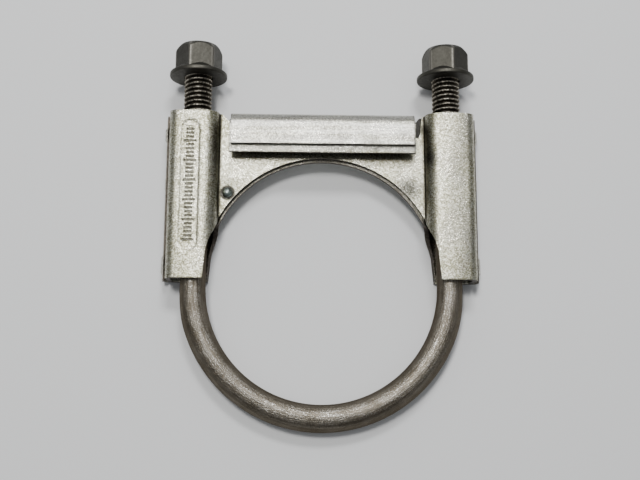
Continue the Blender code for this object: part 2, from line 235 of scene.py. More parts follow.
def new_mesh(name, points, quads, attributes=None, triangles=()):
    """Mesh from arrays of points and four-cornered faces, with one attribute per point for each named array."""
    mesh = bpy.data.meshes.new(name)
    faces = np.asarray(quads, int).tolist() + [list(t) for t in triangles]
    mesh.from_pydata(np.asarray(points, float).tolist(), [], faces)
    for key, values in (attributes or {}).items():
        values = np.asarray(values, np.float32)
        kind = "FLOAT" if values.ndim == 1 else "FLOAT_VECTOR"
        layer = mesh.attributes.new(key, kind, "POINT")
        layer.data.foreach_set("value" if values.ndim == 1 else "vector", values.ravel())
    return mesh


def tidy_mesh(mesh, merge=2e-6):
    """Merges points that lie together, drops faces that have collapsed, and turns the faces outwards."""
    bm = bmesh.new()
    bm.from_mesh(mesh)
    bmesh.ops.remove_doubles(bm, verts=bm.verts, dist=merge)
    bmesh.ops.dissolve_degenerate(bm, edges=bm.edges, dist=merge / 4)
    bmesh.ops.recalc_face_normals(bm, faces=bm.faces)
    bm.to_mesh(mesh)
    bm.free()
    return mesh


def place_piece(mesh, body, stands_for=(), sharp=35):
    """Object at the origin that rides on a body and hides the solid it stands for."""
    mesh.shade_smooth()
    if sharp:
        mesh.set_sharp_from_angle(angle=math.radians(sharp))
    piece = bpy.data.objects.new(mesh.name, mesh)
    bpy.context.scene.collection.objects.link(piece)
    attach(piece, body)
    if stands_for:
        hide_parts(*stands_for)
    return piece


print("a 3 x 4 grid has", len(grid_quads(3, 4)), "faces")

# %% [markdown]
# ## The bent rod and its rolled threads
#
# A U-bolt starts as a straight bar. The thread is rolled, not cut: dies squeeze the grooves in and
# push the crests out, so the thread is a little fatter than the rod. Then the bar is bent round a
# former. The plain part is a circle carried along a path of line, half-circle and line. The thread
# is the same tube with a radius that depends on height and on angle together, which makes a helix.
# Its grid is sheared by one pitch per turn, so that the grid lines run along the crests.

# %% Thread form
THREAD_SIDES = 56
THREAD_PHASES = np.array([0.0, 0.07, 0.16, 0.27, 0.38, 0.45, 0.55, 0.62, 0.73, 0.84, 0.93])
ROWS_PER_PITCH = len(THREAD_PHASES)


def thread_radius(phase, root=None, crest=None):
    """Radius over one pitch, phase 0 in the groove and 0.5 on the crest: flat, 30 degree flank, flat, flank."""
    root = THREAD_ROOT_R if root is None else root
    crest = THREAD_R if crest is None else crest
    away = np.minimum(phase, 1 - phase)
    return root + (crest - root) * np.clip((away - 0.07) / 0.35, 0, 1)


def threaded_leg(side):
    """Points of one threaded end, columns around the leg: height rises by one pitch in a turn, and is clipped
    to the ends of the thread, where the radius runs out into the plain rod below and into a chamfer above."""
    turns = int((LEG_END - THREAD_START) / PITCH) + 3
    row = np.arange(turns * ROWS_PER_PITCH + 1)
    phase = THREAD_PHASES[row % ROWS_PER_PITCH]
    angle = np.arange(THREAD_SIDES) / THREAD_SIDES * 2 * math.pi
    height = THREAD_START + (row // ROWS_PER_PITCH - 2 + phase) * PITCH
    height = height[None, :] + angle[:, None] / (2 * math.pi) * PITCH
    radius = np.broadcast_to(thread_radius(phase), height.shape)
    run_in = smoothstep((height - THREAD_START) / (2.2 * PITCH))
    radius = ROD_R + (radius - ROD_R) * run_in
    tip = THREAD_ROOT_R - 0.3 * MM
    radius = np.minimum(radius, np.maximum(tip + (LEG_END - height) * 0.9, tip))
    worn = soft_noise(np.stack([np.sin(angle)[:, None] * radius, height, np.cos(angle)[:, None] * radius], -1)
                      .reshape(-1, 3), 2.3 * MM, 5 + side).reshape(height.shape)
    radius = radius - 0.02 * MM * worn * run_in
    low, high = height <= THREAD_START, height >= LEG_END
    radius = np.where(low, ROD_R, np.where(high, tip, radius))
    height = np.clip(height, THREAD_START, LEG_END)
    crest = smoothstep((radius - THREAD_ROOT_R - 0.50 * MM) / (0.3 * MM)) * run_in * ~(low | high)
    crest = np.where(high, 0.5, crest)
    x = side * LEG_X + radius * np.sin(angle)[:, None]
    z = AXIS_Z + radius * np.cos(angle)[:, None]
    around = np.stack([radius * np.sin(angle)[:, None], radius * np.cos(angle)[:, None], height], -1)
    return np.stack([x, height, z], -1), crest, run_in, around


def thread_quads(columns, rows):
    """Faces between neighbouring columns; the last column meets the first one pitch further up."""
    i = np.arange(rows - 1)
    faces = []
    for k in range(columns):
        n, shift = (k + 1) % columns, 0 if k + 1 < columns else ROWS_PER_PITCH
        j = i[: rows - 1 - shift]
        faces.append(np.stack([k * rows + j, n * rows + j + shift, n * rows + j + 1 + shift, k * rows + j + 1], -1))
    return np.concatenate(faces)


print("thread depth, mm:", round((THREAD_R - THREAD_ROOT_R) / MM, 3), "turns:", round((LEG_END - THREAD_START) / PITCH, 1))

# %% Rod and threads as one piece
def plain_rod():
    """A circle carried along the left leg, the half-circle and the right leg. Cold bending presses the rod
    a little wider in the plane of the bend, so its outer side swells by half a millimetre round the bend."""
    bend = np.linspace(math.pi, 2 * math.pi, 150)
    left = np.linspace(THREAD_START, BEND_Y, 50)[:-1]
    right = left[::-1]
    centre_x = np.r_[np.full(len(left), -LEG_X), LEG_X * np.cos(bend), np.full(len(right), LEG_X)]
    centre_y = np.r_[left, BEND_Y + LEG_X * np.sin(bend), right]
    out_x = np.r_[np.full(len(left), -1.0), np.cos(bend), np.full(len(right), 1.0)]
    out_y = np.r_[np.zeros(len(left)), np.sin(bend), np.zeros(len(right))]
    length = np.r_[0, np.cumsum(np.hypot(np.diff(centre_x), np.diff(centre_y)))]
    angle = np.arange(THREAD_SIDES) / THREAD_SIDES * 2 * math.pi
    side, rise = np.sin(angle), np.cos(angle)
    swell = 0.5 * MM * smoothstep(-out_y[:, None] / 0.3) * np.clip(side, 0, 1) ** 1.5
    reach = ROD_R * side + swell
    x = centre_x[:, None] + out_x[:, None] * reach
    y = centre_y[:, None] + out_y[:, None] * reach
    z = AXIS_Z + np.broadcast_to(ROD_R * rise, x.shape)
    around = np.stack([np.broadcast_to(ROD_R * side, x.shape), np.broadcast_to(ROD_R * rise, x.shape),
                       np.broadcast_to(length[:, None], x.shape)], -1)
    return np.stack([x, y, z], -1), around


def make_rod():
    """Joins the plain rod and two threaded ends, each closed by a fan of triangles. Both have the same points
    where they meet, so the merge in tidy_mesh makes them one skin."""
    rod, around = plain_rod()
    points, quads, extra = [rod.reshape(-1, 3)], [grid_quads(*rod.shape[:2], closed=True)], [around.reshape(-1, 3)]
    crest, threaded = [np.zeros(rod[..., 0].size)], [np.zeros(rod[..., 0].size)]
    start, triangles = len(points[0]), []
    for side in (-1, 1):
        leg, leg_crest, run_in, leg_around = threaded_leg(side)
        quads.append(thread_quads(*leg.shape[:2]) + start)
        tip = start + leg.shape[0] * leg.shape[1]
        last = start + (np.arange(THREAD_SIDES) + 1) * leg.shape[1] - 1
        triangles += [(last[k], last[(k + 1) % THREAD_SIDES], tip) for k in range(THREAD_SIDES)]
        points += [leg.reshape(-1, 3), np.array([[side * LEG_X, LEG_END, AXIS_Z]])]
        extra += [leg_around.reshape(-1, 3), np.array([[0, 0, LEG_END]])]
        crest += [leg_crest.ravel(), np.full(1, 0.5)]
        threaded += [run_in.ravel(), np.ones(1)]
        start = tip + 1
    mesh = new_mesh("bent_rod", np.concatenate(points), np.concatenate(quads),
                    {"rod_space": np.concatenate(extra), "crest": np.concatenate(crest),
                     "threaded": np.concatenate(threaded)}, triangles)
    return place_piece(tidy_mesh(mesh), "u_bolt", ["u_bolt"], sharp=None)


bent_rod = make_rod()
print("rod faces:", len(bent_rod.data.polygons))

# %% [markdown]
# ## The saddle shells
#
# Each shell is one stamping: a flat blank that has been bent into a half channel at each end, with
# a round cradle cut out for the pipe, and with its top edge folded forward. Bent sheet is easy to
# draw from its middle surface. One direction of the grid follows the bends from outer wall to outer
# wall, and the other runs from the cut edge to the top edge. The Solidify modifier then gives it
# the thickness of the sheet, and a small bevel takes the sharpness off the sheared edges.

# %% Bent lines
def bent_line(corners, spacing, arc_steps):
    """Points along straight runs joined by arcs, as an array. A corner is (a, b, radius, spacing factor of the
    run that follows it); the first and the last have radius 0."""
    pieces = []
    corners = [(np.array(c[:2]), c[2], c[3] if len(c) > 3 else 1.0) for c in corners]
    cursor = corners[0][0]
    for i, (here, radius, _) in enumerate(corners[1:], 1):
        if radius > 0:
            back = corners[i - 1][0] - here
            ahead = corners[i + 1][0] - here
            back, ahead = back / np.linalg.norm(back), ahead / np.linalg.norm(ahead)
            half = math.acos(np.clip(back @ ahead, -1, 1)) / 2
            first, last = here + back * radius / math.tan(half), here + ahead * radius / math.tan(half)
            centre = here + (back + ahead) / np.linalg.norm(back + ahead) * radius / math.sin(half)
        else:
            first = here
        count = max(2, int(round(np.linalg.norm(first - cursor) / (spacing * corners[i - 1][2]))) + 1)
        pieces.append(cursor + (first - cursor) * np.linspace(0, 1, count)[:, None])
        if radius > 0:
            a, b = first - centre, last - centre
            turn = math.atan2(a[0] * b[1] - a[1] * b[0], a @ b) * np.linspace(0, 1, arc_steps + 1)[1:-1, None]
            pieces.append(centre + a * np.cos(turn) + np.array([-a[1], a[0]]) * np.sin(turn))
            cursor = last
    line = np.concatenate(pieces)
    keep = np.r_[True, np.linalg.norm(np.diff(line, axis=0), axis=1) > 1e-7]
    return line[keep]


def shell_line(face, wall_x, wall_end, fine):
    """Middle line of one shell across the saddle, in X and Z from the leg plane; face is +1 in front, -1 behind."""
    web = face * (GAP + SHEET) / 2
    flat = face * (CHANNEL_Z - SHEET / 2)
    inner, outer = CHANNEL_IN + SHEET / 2, wall_x - SHEET / 2
    half = [(outer, wall_end, 0, 1.2), (outer, flat, OUTER_BEND, fine),
            (inner, flat, INNER_BEND, 0.8), (inner, web, WEB_BEND, 1.3)]
    left = [(-x, z, r, s) for x, z, r, s in half]
    spans = [s for *_, s in half]
    right = [(x, z, r, spans[max(i - 1, 0)]) for i, (x, z, r, _) in enumerate(half)][::-1]
    return bent_line(left + right, 0.8 * MM, 7)


front_line = shell_line(1, CHANNEL_OUT, WALL_END, 0.45)
print("points across the front shell:", len(front_line))

# %% Shell surface
SLIT_FOOT = FOLD_TOP - SHEET / 2 - FOLD_BEND - 0.4 * MM


def lower_edge(x, z, radius):
    """Height of the cut edge: the cradle's circle over the pipe, and the saddle's foot beyond it. Down the
    channel's inner wall the cut slants, because a wall has a thickness that the circle crosses."""
    beside_wall = 1 - smoothstep((np.abs(np.abs(x) - CHANNEL_IN - SHEET / 2) - 0.2 * MM) / (1.6 * MM))
    lean = np.clip(np.abs(z) * 2 / CHANNEL_Z - 1, -1, 1) * beside_wall
    reach = np.abs(x) + 0.8 * MM * lean
    inside = np.clip(radius ** 2 - reach ** 2, 0, None)
    return np.where(reach < radius - 0.03 * MM, CRADLE_Y + np.sqrt(inside), SADDLE_BOTTOM)


def upper_edge(x, fold_half, left_notch, right_notch):
    """Height of the top edge: the fold's root in the middle, a relief notch beside it, and the saddle's top.
    A notch is (depth, width of its floor)."""
    depth, floor_width = (np.where(x < 0, left, right) for left, right in zip(left_notch, right_notch))
    aside = np.abs(x) - fold_half
    notch = SADDLE_TOP - depth * (1 - smoothstep((aside - floor_width) / (3.0 * MM - floor_width)))
    return np.where(aside <= 1e-6, SLIT_FOOT, notch)


def stamp_depth(x, y):
    """0 to 1 inside a round-ended slot on the left channel: distance to the slot's middle line, softened."""
    middle_x, half_width, half_length = -44.4 * MM, 3.0 * MM, 19.3 * MM
    middle_y = SADDLE_TOP - 25.8 * MM
    along = np.clip(y - middle_y, -half_length, half_length)
    away = np.hypot(x - middle_x, y - middle_y - along)
    return 1 - smoothstep((away - half_width + 0.1 * MM) / (0.7 * MM))


STAKE_Z = -3.4 * MM
STAKES = ((SADDLE_TOP - 6.2 * MM, 1.7 * MM, 0.75), (SADDLE_TOP - 23.5 * MM, 1.5 * MM, 0.25),
          (SADDLE_BOTTOM + 5.5 * MM, 2.5 * MM, 0.75))


def stake_bulge(y, z):
    """Outward swell of the outer wall where a punch has locked the two shells together."""
    bulge = np.zeros_like(y)
    for centre, half, height in STAKES:
        long = 1 - smoothstep((np.abs(y - centre) - half) / (0.8 * MM))
        wide = 1 - smoothstep((np.abs(z - STAKE_Z) - 0.9 * MM) / (0.9 * MM))
        bulge = np.maximum(bulge, height * MM * long * wide)
    return bulge


def shell_grid(line, face, radius, fold_half, notches, rows):
    """Middle surface of one shell. Each column keeps its X and Z, and runs from the cut edge to the top edge."""
    x, z = line[:, 0], line[:, 1]
    low, high = lower_edge(x, z, radius), upper_edge(x, fold_half, *notches)
    v = np.linspace(0, 1, rows)[:, None]
    y = low + (high - low) * v
    x, z = np.broadcast_to(x, y.shape).copy(), np.broadcast_to(z, y.shape).copy()
    return x, y, z


def split_columns(line, half):
    """Adds columns exactly at the fold's two ends, and just outside them, so that the slits can open there."""
    web_z = np.interp(0, line[:, 0], line[:, 1])
    steps = np.array([0, 0.2, 0.6, 1.0, 1.4, 1.8, 2.2, 2.6, 3.0]) * MM
    extra = np.array([[side * (half + step), web_z] for side in (-1, 1) for step in steps])
    extra = extra[np.abs(extra[:, 0]) < CHANNEL_IN - 0.8 * MM]
    beside = (np.abs(line[:, 0]) > half - 0.4 * MM) & (np.abs(line[:, 0]) < CHANNEL_IN - 0.72 * MM)
    line = line[~beside]
    middle = np.abs(line[:, 0]) < half
    web = np.concatenate([line[middle], extra])
    web = web[np.argsort(web[:, 0])]
    first = np.argmax(middle)
    return np.concatenate([line[:first], web, line[first + middle.sum():]])


def fold_grid(columns, web, top, front, edge, radius, bow, curl):
    """The folded top edge over the middle columns: up the web, round two bends, and down to the free edge.
    bow leans the front face back towards its top, and curl turns its last third in, both in metres."""
    path = bent_line([(SLIT_FOOT, web, 0), (top, web, radius), (top, front, radius, 1.0), (edge, front, 0)], 0.55 * MM, 9)
    y, z = path[:, 0], path[:, 1]
    fallen = np.clip((top - y) / (top - edge), 0, 1) * (np.arange(len(y)) > len(y) // 2)
    z = z + bow * (fallen - 0.5) * (fallen > 0) - curl * smoothstep((fallen - 0.62) / 0.38)
    rows = np.broadcast_to(columns, (len(path), len(columns)))
    return rows, np.broadcast_to(y[:, None], rows.shape), np.broadcast_to(z[:, None], rows.shape)


def make_shell(name, face, wall_x, wall_end, fine, rows, radius_key, fold_half, notches, fold, seed):
    """Joins the shell's surface and its fold, adds the stamped recess, the stakes and a slight unevenness,
    and lets Solidify and Bevel finish the sheet."""
    radius = CRADLE_R[radius_key]
    line = split_columns(shell_line(face, wall_x, wall_end, fine), fold_half)
    x, y, z = shell_grid(line, face, radius, fold_half, notches, rows)
    if face > 0:
        on_front = (z > CHANNEL_Z - SHEET) & (x < 0)
        z = z - 0.32 * MM * stamp_depth(x, y) * on_front
    on_wall = np.abs(x) > wall_x - SHEET / 2 - 1e-6
    x = x + np.sign(x) * stake_bulge(y, z) * on_wall * (0.8 if face < 0 else 0.5)
    rim = np.hypot(x, y - CRADLE_Y) - radius + 10 * MM * (y < CRADLE_Y)
    crown = np.clip((np.abs(x) - (CHANNEL_IN + wall_x) / 2) / (6.5 * MM), -1, 1)
    z = z - face * 0.42 * MM * crown ** 2 * smoothstep((np.abs(z) - CHANNEL_Z + 4.5 * MM) / (3.7 * MM))
    columns = line[np.abs(line[:, 0]) <= fold_half + 1e-6, 0]
    web = face * (GAP + SHEET) / 2
    fx, fy, fz = fold_grid(columns, web, *fold)
    fold_rim = np.full(fx.shape, 10 * MM)
    sheet = np.stack([x, y, z], -1).reshape(-1, 3)
    folded = np.stack([fx, fy, fz], -1).reshape(-1, 3)
    points = np.concatenate([sheet, folded])
    quads = np.concatenate([grid_quads(*x.shape), grid_quads(*fx.shape) + len(sheet)])
    edge = np.concatenate([rim.ravel(), fold_rim.ravel()])
    is_fold = np.concatenate([np.zeros(len(sheet)), np.ones(len(folded))])
    across, height = np.abs(points[:, 0]), np.abs(points[:, 2])
    # painted shade: a dark band down the inner bend of each channel, darkest low down and fading upwards, and a painted
    # shadow on the web just under the lip; the material reads both from this mask
    painted_shade = (across > CHANNEL_IN - 1.2 * MM) & (across < CHANNEL_IN + 3.0 * MM) & (is_fold == 0)
    painted_shade = painted_shade * (1 - smoothstep((height - 2.0 * MM) / (CHANNEL_Z - 3.2 * MM)))
    under_lip = 1 - smoothstep((LIP_EDGE - 1.1 * MM - points[:, 1]) / (1.5 * MM))
    painted_shade = np.maximum(painted_shade, under_lip * (across < LIP_HALF) * (is_fold == 0) * (face > 0))
    points[:, 2] += 0.05 * MM * soft_noise(points, 23 * MM, seed)
    points[:, 2] += 0.045 * MM * soft_noise(points, 8 * MM, seed + 1) * is_fold * (points[:, 2] > FOLD_Z / 2)
    points[:, 2] += AXIS_Z
    mesh = new_mesh(name, points, quads, {"edge": np.clip(edge / MM, 0, 10), "folded": is_fold, "painted_shade": painted_shade})
    tidy_mesh(mesh, merge=4e-6)
    shell = place_piece(mesh, "saddle", [name.replace("shell_", "saddle_")], sharp=None)
    thick = shell.modifiers.new("sheet", "SOLIDIFY")
    thick.thickness, thick.offset, thick.use_even_offset = SHEET, 0.0, True
    thick.material_offset_rim = 1
    if face < 0:
        spots = np.empty(len(shell.data.vertices) * 3)
        shell.data.vertices.foreach_get("co", spots)
        spots = spots.reshape(-1, 3)
        to_end = np.clip((wall_end + AXIS_Z - spots[:, 2]) / (2.2 * MM), 0.35, 1.0)
        level = np.round(np.where(np.abs(spots[:, 0]) > wall_x - SHEET, to_end, 1.0) * 16).astype(int)
        coined = shell.vertex_groups.new(name="coined_edge")
        for step in np.unique(level):
            coined.add(np.flatnonzero(level == step).tolist(), step / 16, "REPLACE")
        thick.vertex_group = coined.name
    soften = shell.modifiers.new("sheared_edge", "BEVEL")
    soften.width, soften.segments, soften.limit_method, soften.material = 0.2 * MM, 2, "ANGLE", 2
    soften.angle_limit = math.radians(50)
    return shell


lip_top = FOLD_TOP - 1.5 * SHEET - GAP
relief_notch, torn_notch = (RELIEF_DEPTH, 0.8 * MM), (7.6 * MM, 1.9 * MM)
inner_fold = (lip_top, FOLD_Z - 1.5 * SHEET - GAP, LIP_EDGE, LIP_BEND, 0.0, 0.45 * MM)
outer_fold = (FOLD_TOP - SHEET / 2, FOLD_Z - SHEET / 2, FOLD_EDGE, FOLD_BEND, 0.5 * MM, 0.28 * MM)
shell_front = make_shell("shell_front", 1, CHANNEL_OUT, WALL_END, 0.45, 120, "front", LIP_HALF,
                         (relief_notch, torn_notch), inner_fold, 11)
shell_back = make_shell("shell_back", -1, back_high.x - 0.7 * MM, LAP_END, 0.9, 90, "back", FOLD_HALF,
                        (relief_notch, relief_notch), outer_fold, 12)
print("sheet faces:", len(shell_front.data.polygons), len(shell_back.data.polygons))

# %% [markdown]
# ## The rivet, and turned shapes in general
#
# A small headed rivet ties the two webs together. It is a turned shape: a profile of radius and
# height, spun round an axis. The same helper serves the nut flanges.

# %% Turned surfaces
def turned(profile, sides, centre, axis):
    """Points of a profile of (radius, height) spun round an axis through centre; closed where radius is 0."""
    radius, height = np.array(profile, float).T
    angle = np.arange(sides) / sides * 2 * math.pi
    a, b = radius[:, None] * np.sin(angle), radius[:, None] * np.cos(angle)
    h = np.broadcast_to(height[:, None], a.shape)
    spun = np.stack([a, b, h] if axis == "Z" else [a, h, b], -1)
    return (spun + np.array(centre)).reshape(-1, 3), grid_quads(len(profile), sides, closed=True)


def make_rivet():
    """Two low domes and the shank between them, slightly out of round from the hammer."""
    half = (rivet_high.z - rivet_low.z) / 2
    head = (rivet_high.x - rivet_low.x) / 2
    seat = GAP / 2 + SHEET
    sweep = np.linspace(0, math.pi / 2, 9)
    dome = [(head * math.sin(a), -seat - (half - seat) * math.cos(a)) for a in sweep]
    lower = dome + [(head * 0.96, -seat + 0.05 * MM), (1.1 * MM, -seat + 0.06 * MM)]
    profile = lower + [(r, -h) for r, h in lower[::-1]]
    points, quads = turned(profile, 40, (RIVET.x, RIVET.y, AXIS_Z), "Z")
    points += 0.05 * MM * soft_noise(points, 2.2 * MM, 3)[:, None]
    mesh = tidy_mesh(new_mesh("rivet", points, quads))
    return place_piece(mesh, "saddle", ["web_rivet"], sharp=40)


rivet = make_rivet()
print("rivet height, mm:", round((rivet_high.z - rivet_low.z) / MM, 2))

# %% [markdown]
# ## The flange nuts
#
# A flange nut is forged hot in one piece: a hexagon that flares into a round washer face, with its
# top corners chamfered. The joints need the round part and the hexagon on separate bodies, because
# the hexagon turns while both travel. So the round flange is one turned surface and the hexagon
# another, and the hexagon's foot is sunk in the flare, where the seam is a crease and not a gap.
# In polar form a hexagon is a radius that depends on angle; the chamfer is a cone that trims it.

# %% Hexagon and flange
NUT_TOP, NUT_SEAT = hex_high.y, flange_low.y
FLANGE_R = (flange_high.z - flange_low.z) / 2
HALF_FLATS = 14.29 * MM / 2
HEX_SIDES = 180
BORE_R = THREAD_R + 0.24 * MM
BORE_ROOT_R = THREAD_ROOT_R + 0.28 * MM
BORE_TOP_R = THREAD_R + 0.25 * MM
EASE = 0.12 * MM


def hexagon_radius(angle, rounding):
    """Distance from the axis to a hexagon's side, with the corners eased by a high power mean of the six sides."""
    towards = np.stack([np.cos(angle - k * math.pi / 3) for k in range(6)])
    return HALF_FLATS / np.sum(np.clip(towards, 0, None) ** rounding, axis=0) ** (1 / rounding)


def make_hexagon(name, side, turn, body):
    """Rows of points from the foot to the chamfered top, then down the countersink and the threaded bore."""
    angle = np.arange(HEX_SIDES) / HEX_SIDES * 2 * math.pi
    flat_sided = hexagon_radius(angle - turn, 60.0)
    foot = NUT_SEAT + 0.9 * MM
    cone_foot = NUT_TOP - 2.4 * MM
    outer = np.concatenate([np.linspace(foot, cone_foot, 6), np.linspace(cone_foot, NUT_TOP - EASE, 14)[1:]])
    rise = np.clip(outer - cone_foot, 0, None) / (NUT_TOP - cone_foot)
    cone = HALF_FLATS / math.cos(math.pi / 6) + 0.1 * MM - 1.75 * MM * rise ** 1.2
    wall = -np.log(np.exp(-flat_sided[None, :] / EASE) + np.exp(-cone[:, None] / EASE)) * EASE
    rim_r = wall[-1] - EASE
    rows = [(w, np.full(HEX_SIDES, h)) for w, h in zip(wall, outer)]
    rows.append((rim_r, np.full(HEX_SIDES, NUT_TOP)))
    countersink = ((BORE_TOP_R + 0.55 * MM, NUT_TOP), (BORE_TOP_R + 0.45 * MM, NUT_TOP - EASE),
                   (BORE_TOP_R - 0.01 * MM, NUT_TOP - 1.0 * MM))
    for r, h in countersink:
        rows.append((np.full(HEX_SIDES, r), np.full(HEX_SIDES, h)))
    for h in np.arange(NUT_TOP - 1.1 * MM, foot, -PITCH / 12):
        phase = ((h - THREAD_START) / PITCH - angle / (2 * math.pi)) % 1.0
        cut = thread_radius(phase, BORE_ROOT_R, BORE_R)
        rows.append((cut, np.full(HEX_SIDES, h)))
    radius, height = np.array([r for r, _ in rows]), np.array([h for _, h in rows])
    x = side * LEG_X + radius * np.sin(angle)
    z = AXIS_Z + radius * np.cos(angle)
    points = np.stack([x, height, z], -1)
    quads = grid_quads(*radius.shape, closed=True)
    last = radius.shape[0] - 1
    k = np.arange(HEX_SIDES)
    n = (k + 1) % HEX_SIDES
    foot_ring = np.stack([last * HEX_SIDES + k, last * HEX_SIDES + n, n, k], -1)
    on_wall = (np.arange(len(rows)) < len(outer))[:, None]
    corner = smoothstep((flat_sided / HALF_FLATS - 1.09) / 0.05)[None, :] * on_wall
    mesh = new_mesh(name, points.reshape(-1, 3), np.concatenate([quads, foot_ring]), {"corner": corner.ravel()})
    return place_piece(tidy_mesh(mesh), body, [body], sharp=38)


def make_flange(name, side, body):
    """Profile of the flange: flat seat, upright rim with eased edges, cone, and a concave flare up to the hexagon."""
    ease = 0.45 * MM
    rim_top = NUT_SEAT + 1.6 * MM
    sweep = np.linspace(0, math.pi / 2, 6)
    seat_edge = [(FLANGE_R - ease + ease * math.sin(a), NUT_SEAT + ease - ease * math.cos(a)) for a in sweep]
    rim_edge = [(FLANGE_R - ease + ease * math.cos(a), rim_top - ease + ease * math.sin(a)) for a in sweep]
    flare = np.linspace(0, 1, 10)[1:]
    neck, height = HALF_FLATS - 0.15 * MM, 2.0 * MM
    cone = [(FLANGE_R - ease - (FLANGE_R - ease - neck) * t, rim_top + height * t ** 1.9) for t in flare]
    inside = THREAD_R + 0.3 * MM
    profile = [(inside, NUT_SEAT)] + seat_edge + rim_edge + cone + [(inside, rim_top + height), (inside, NUT_SEAT)]
    points, quads = turned(profile, 112, (side * LEG_X, 0, AXIS_Z), "Y")
    mesh = new_mesh(name, points, quads)
    return place_piece(tidy_mesh(mesh), body, [body], sharp=38)


nut_turns = {"left": math.radians(12.5), "right": math.radians(-18.0)}
nuts, flanges = [], []
for word, side in (("left", -1), ("right", 1)):
    nuts.append(make_hexagon(f"hexagon_{word}", side, nut_turns[word], f"nut_{word}"))
    flanges.append(make_flange(f"flange_{word}", side, f"nut_{word}_flange"))
print("nut faces:", len(nuts[0].data.polygons), len(flanges[0].data.polygons))

# %% [markdown]
# ## Materials: shared effects as node groups
#
# Steel is one shader with a metallic value of 1. What tells one steel from another is its colour,
# its roughness and the small relief that breaks up reflections. The effects that several finishes
# share are node groups: each puts out masks or heights, and each material places it with values
# of its own.

# %% Node helpers
def socket(group, name, direction, kind="NodeSocketFloat", value=None):
    """A named input or output of a node group, with a starting value where it has one."""
    made = group.interface.new_socket(name=name, in_out=direction, socket_type=kind)
    if value is not None:
        made.default_value = value
    return made


def link(tree, start, end):
    tree.links.new(start, end)


def math_node(tree, operation, a, b=None, clamp=False):
    """A Math node; a and b are sockets or numbers. Its output is returned."""
    node = tree.nodes.new("ShaderNodeMath")
    node.operation, node.use_clamp = operation, clamp
    for index, value in enumerate((a, b)):
        if value is None:
            continue
        if isinstance(value, (int, float)):
            node.inputs[index].default_value = value
        else:
            link(tree, value, node.inputs[index])
    return node.outputs[0]


def times(tree, a, b):
    """Product of two values."""
    return math_node(tree, "MULTIPLY", a, b)


def noise(tree, vector, scale, detail=3.0, roughness=0.55):
    """Soft random value from 0 to 1; scale is in spots per metre."""
    node = tree.nodes.new("ShaderNodeTexNoise")
    node.inputs["Scale"].default_value = scale
    node.inputs["Detail"].default_value = detail
    node.inputs["Roughness"].default_value = roughness
    link(tree, vector, node.inputs["Vector"])
    return node.outputs["Fac"]


def remap(tree, value, low, high, to_low=0.0, to_high=1.0):
    """Spreads the part of value between low and high over to_low to to_high, clamped."""
    node = tree.nodes.new("ShaderNodeMapRange")
    node.clamp = True
    for name, number in (("From Min", low), ("From Max", high), ("To Min", to_low), ("To Max", to_high)):
        node.inputs[name].default_value = number
    link(tree, value, node.inputs["Value"])
    return node.outputs["Result"]


def blend_colors(tree, factor, a, b):
    """Mix of two colours by a factor socket; a and b are sockets or (r, g, b)."""
    node = tree.nodes.new("ShaderNodeMix")
    node.data_type = "RGBA"
    for name, value in (("A", a), ("B", b)):
        place = [s for s in node.inputs if s.name == name and s.type == "RGBA"][0]
        if isinstance(value, tuple):
            place.default_value = (*value, 1.0)
        else:
            link(tree, value, place)
    link(tree, factor, node.inputs[0])
    return [s for s in node.outputs if s.type == "RGBA"][0]


def new_group(name, inputs, outputs):
    """An empty node group with float or vector inputs and outputs; returns the group and its two end nodes."""
    group = bpy.data.node_groups.new(name, "ShaderNodeTree")
    for label, kind, value in inputs:
        socket(group, label, "INPUT", kind, value)
    for label, kind in outputs:
        socket(group, label, "OUTPUT", kind)
    start = group.nodes.new("NodeGroupInput")
    end = group.nodes.new("NodeGroupOutput")
    return group, start, end


def place_group(tree, group, **values):
    """Puts a group in a material; a value is a number or a socket."""
    node = tree.nodes.new("ShaderNodeGroup")
    node.node_tree = group
    for key, value in values.items():
        target = node.inputs[key.replace("_", " ")]
        if isinstance(value, (int, float)):
            target.default_value = value
        else:
            link(tree, value, target)
    return node


VECTOR, FLOAT = "NodeSocketVector", "NodeSocketFloat"

# %% Group: sheet grain
def make_grain_group():
    """Fine relief of rolled and plated sheet: small crystals over larger blotches, both from noise. The point is
    turned askew first, because noise has a lattice that would show on faces square to the axes."""
    group, start, end = new_group("sheet_grain", [("Point", VECTOR, None), ("Grain per metre", FLOAT, 1800.0)],
                                  [("Height", FLOAT), ("Speckle", FLOAT), ("Blotch", FLOAT)])
    askew = group.nodes.new("ShaderNodeMapping")
    askew.inputs["Rotation"].default_value = (0.6, 0.5, 0.4)
    link(group, start.outputs["Point"], askew.inputs["Vector"])
    point, density = askew.outputs["Vector"], start.outputs["Grain per metre"]
    fine = group.nodes.new("ShaderNodeTexNoise")
    fine.inputs["Detail"].default_value, fine.inputs["Roughness"].default_value = 2.5, 0.65
    link(group, point, fine.inputs["Vector"])
    link(group, density, fine.inputs["Scale"])
    cells = group.nodes.new("ShaderNodeTexVoronoi")
    link(group, point, cells.inputs["Vector"])
    link(group, times(group, density, 0.9), cells.inputs["Scale"])
    crystal = group.nodes.new("ShaderNodeSeparateColor")
    link(group, cells.outputs["Color"], crystal.inputs["Color"])
    mixed = math_node(group, "ADD", times(group, fine.outputs["Fac"], 0.75),
                      times(group, crystal.outputs["Red"], 0.25))
    speckle = remap(group, mixed, 0.38, 0.62)
    blotch = remap(group, noise(group, point, 95.0, 5.0, 0.6), 0.36, 0.64)
    height = math_node(group, "ADD", fine.outputs["Fac"], times(group, cells.outputs["Distance"], 0.35))
    link(group, height, end.inputs["Height"])
    link(group, speckle, end.inputs["Speckle"])
    link(group, blotch, end.inputs["Blotch"])
    return group


grain_group = make_grain_group()
print("grain outputs:", [s.name for s in grain_group.interface.items_tree if s.in_out == "OUTPUT"])

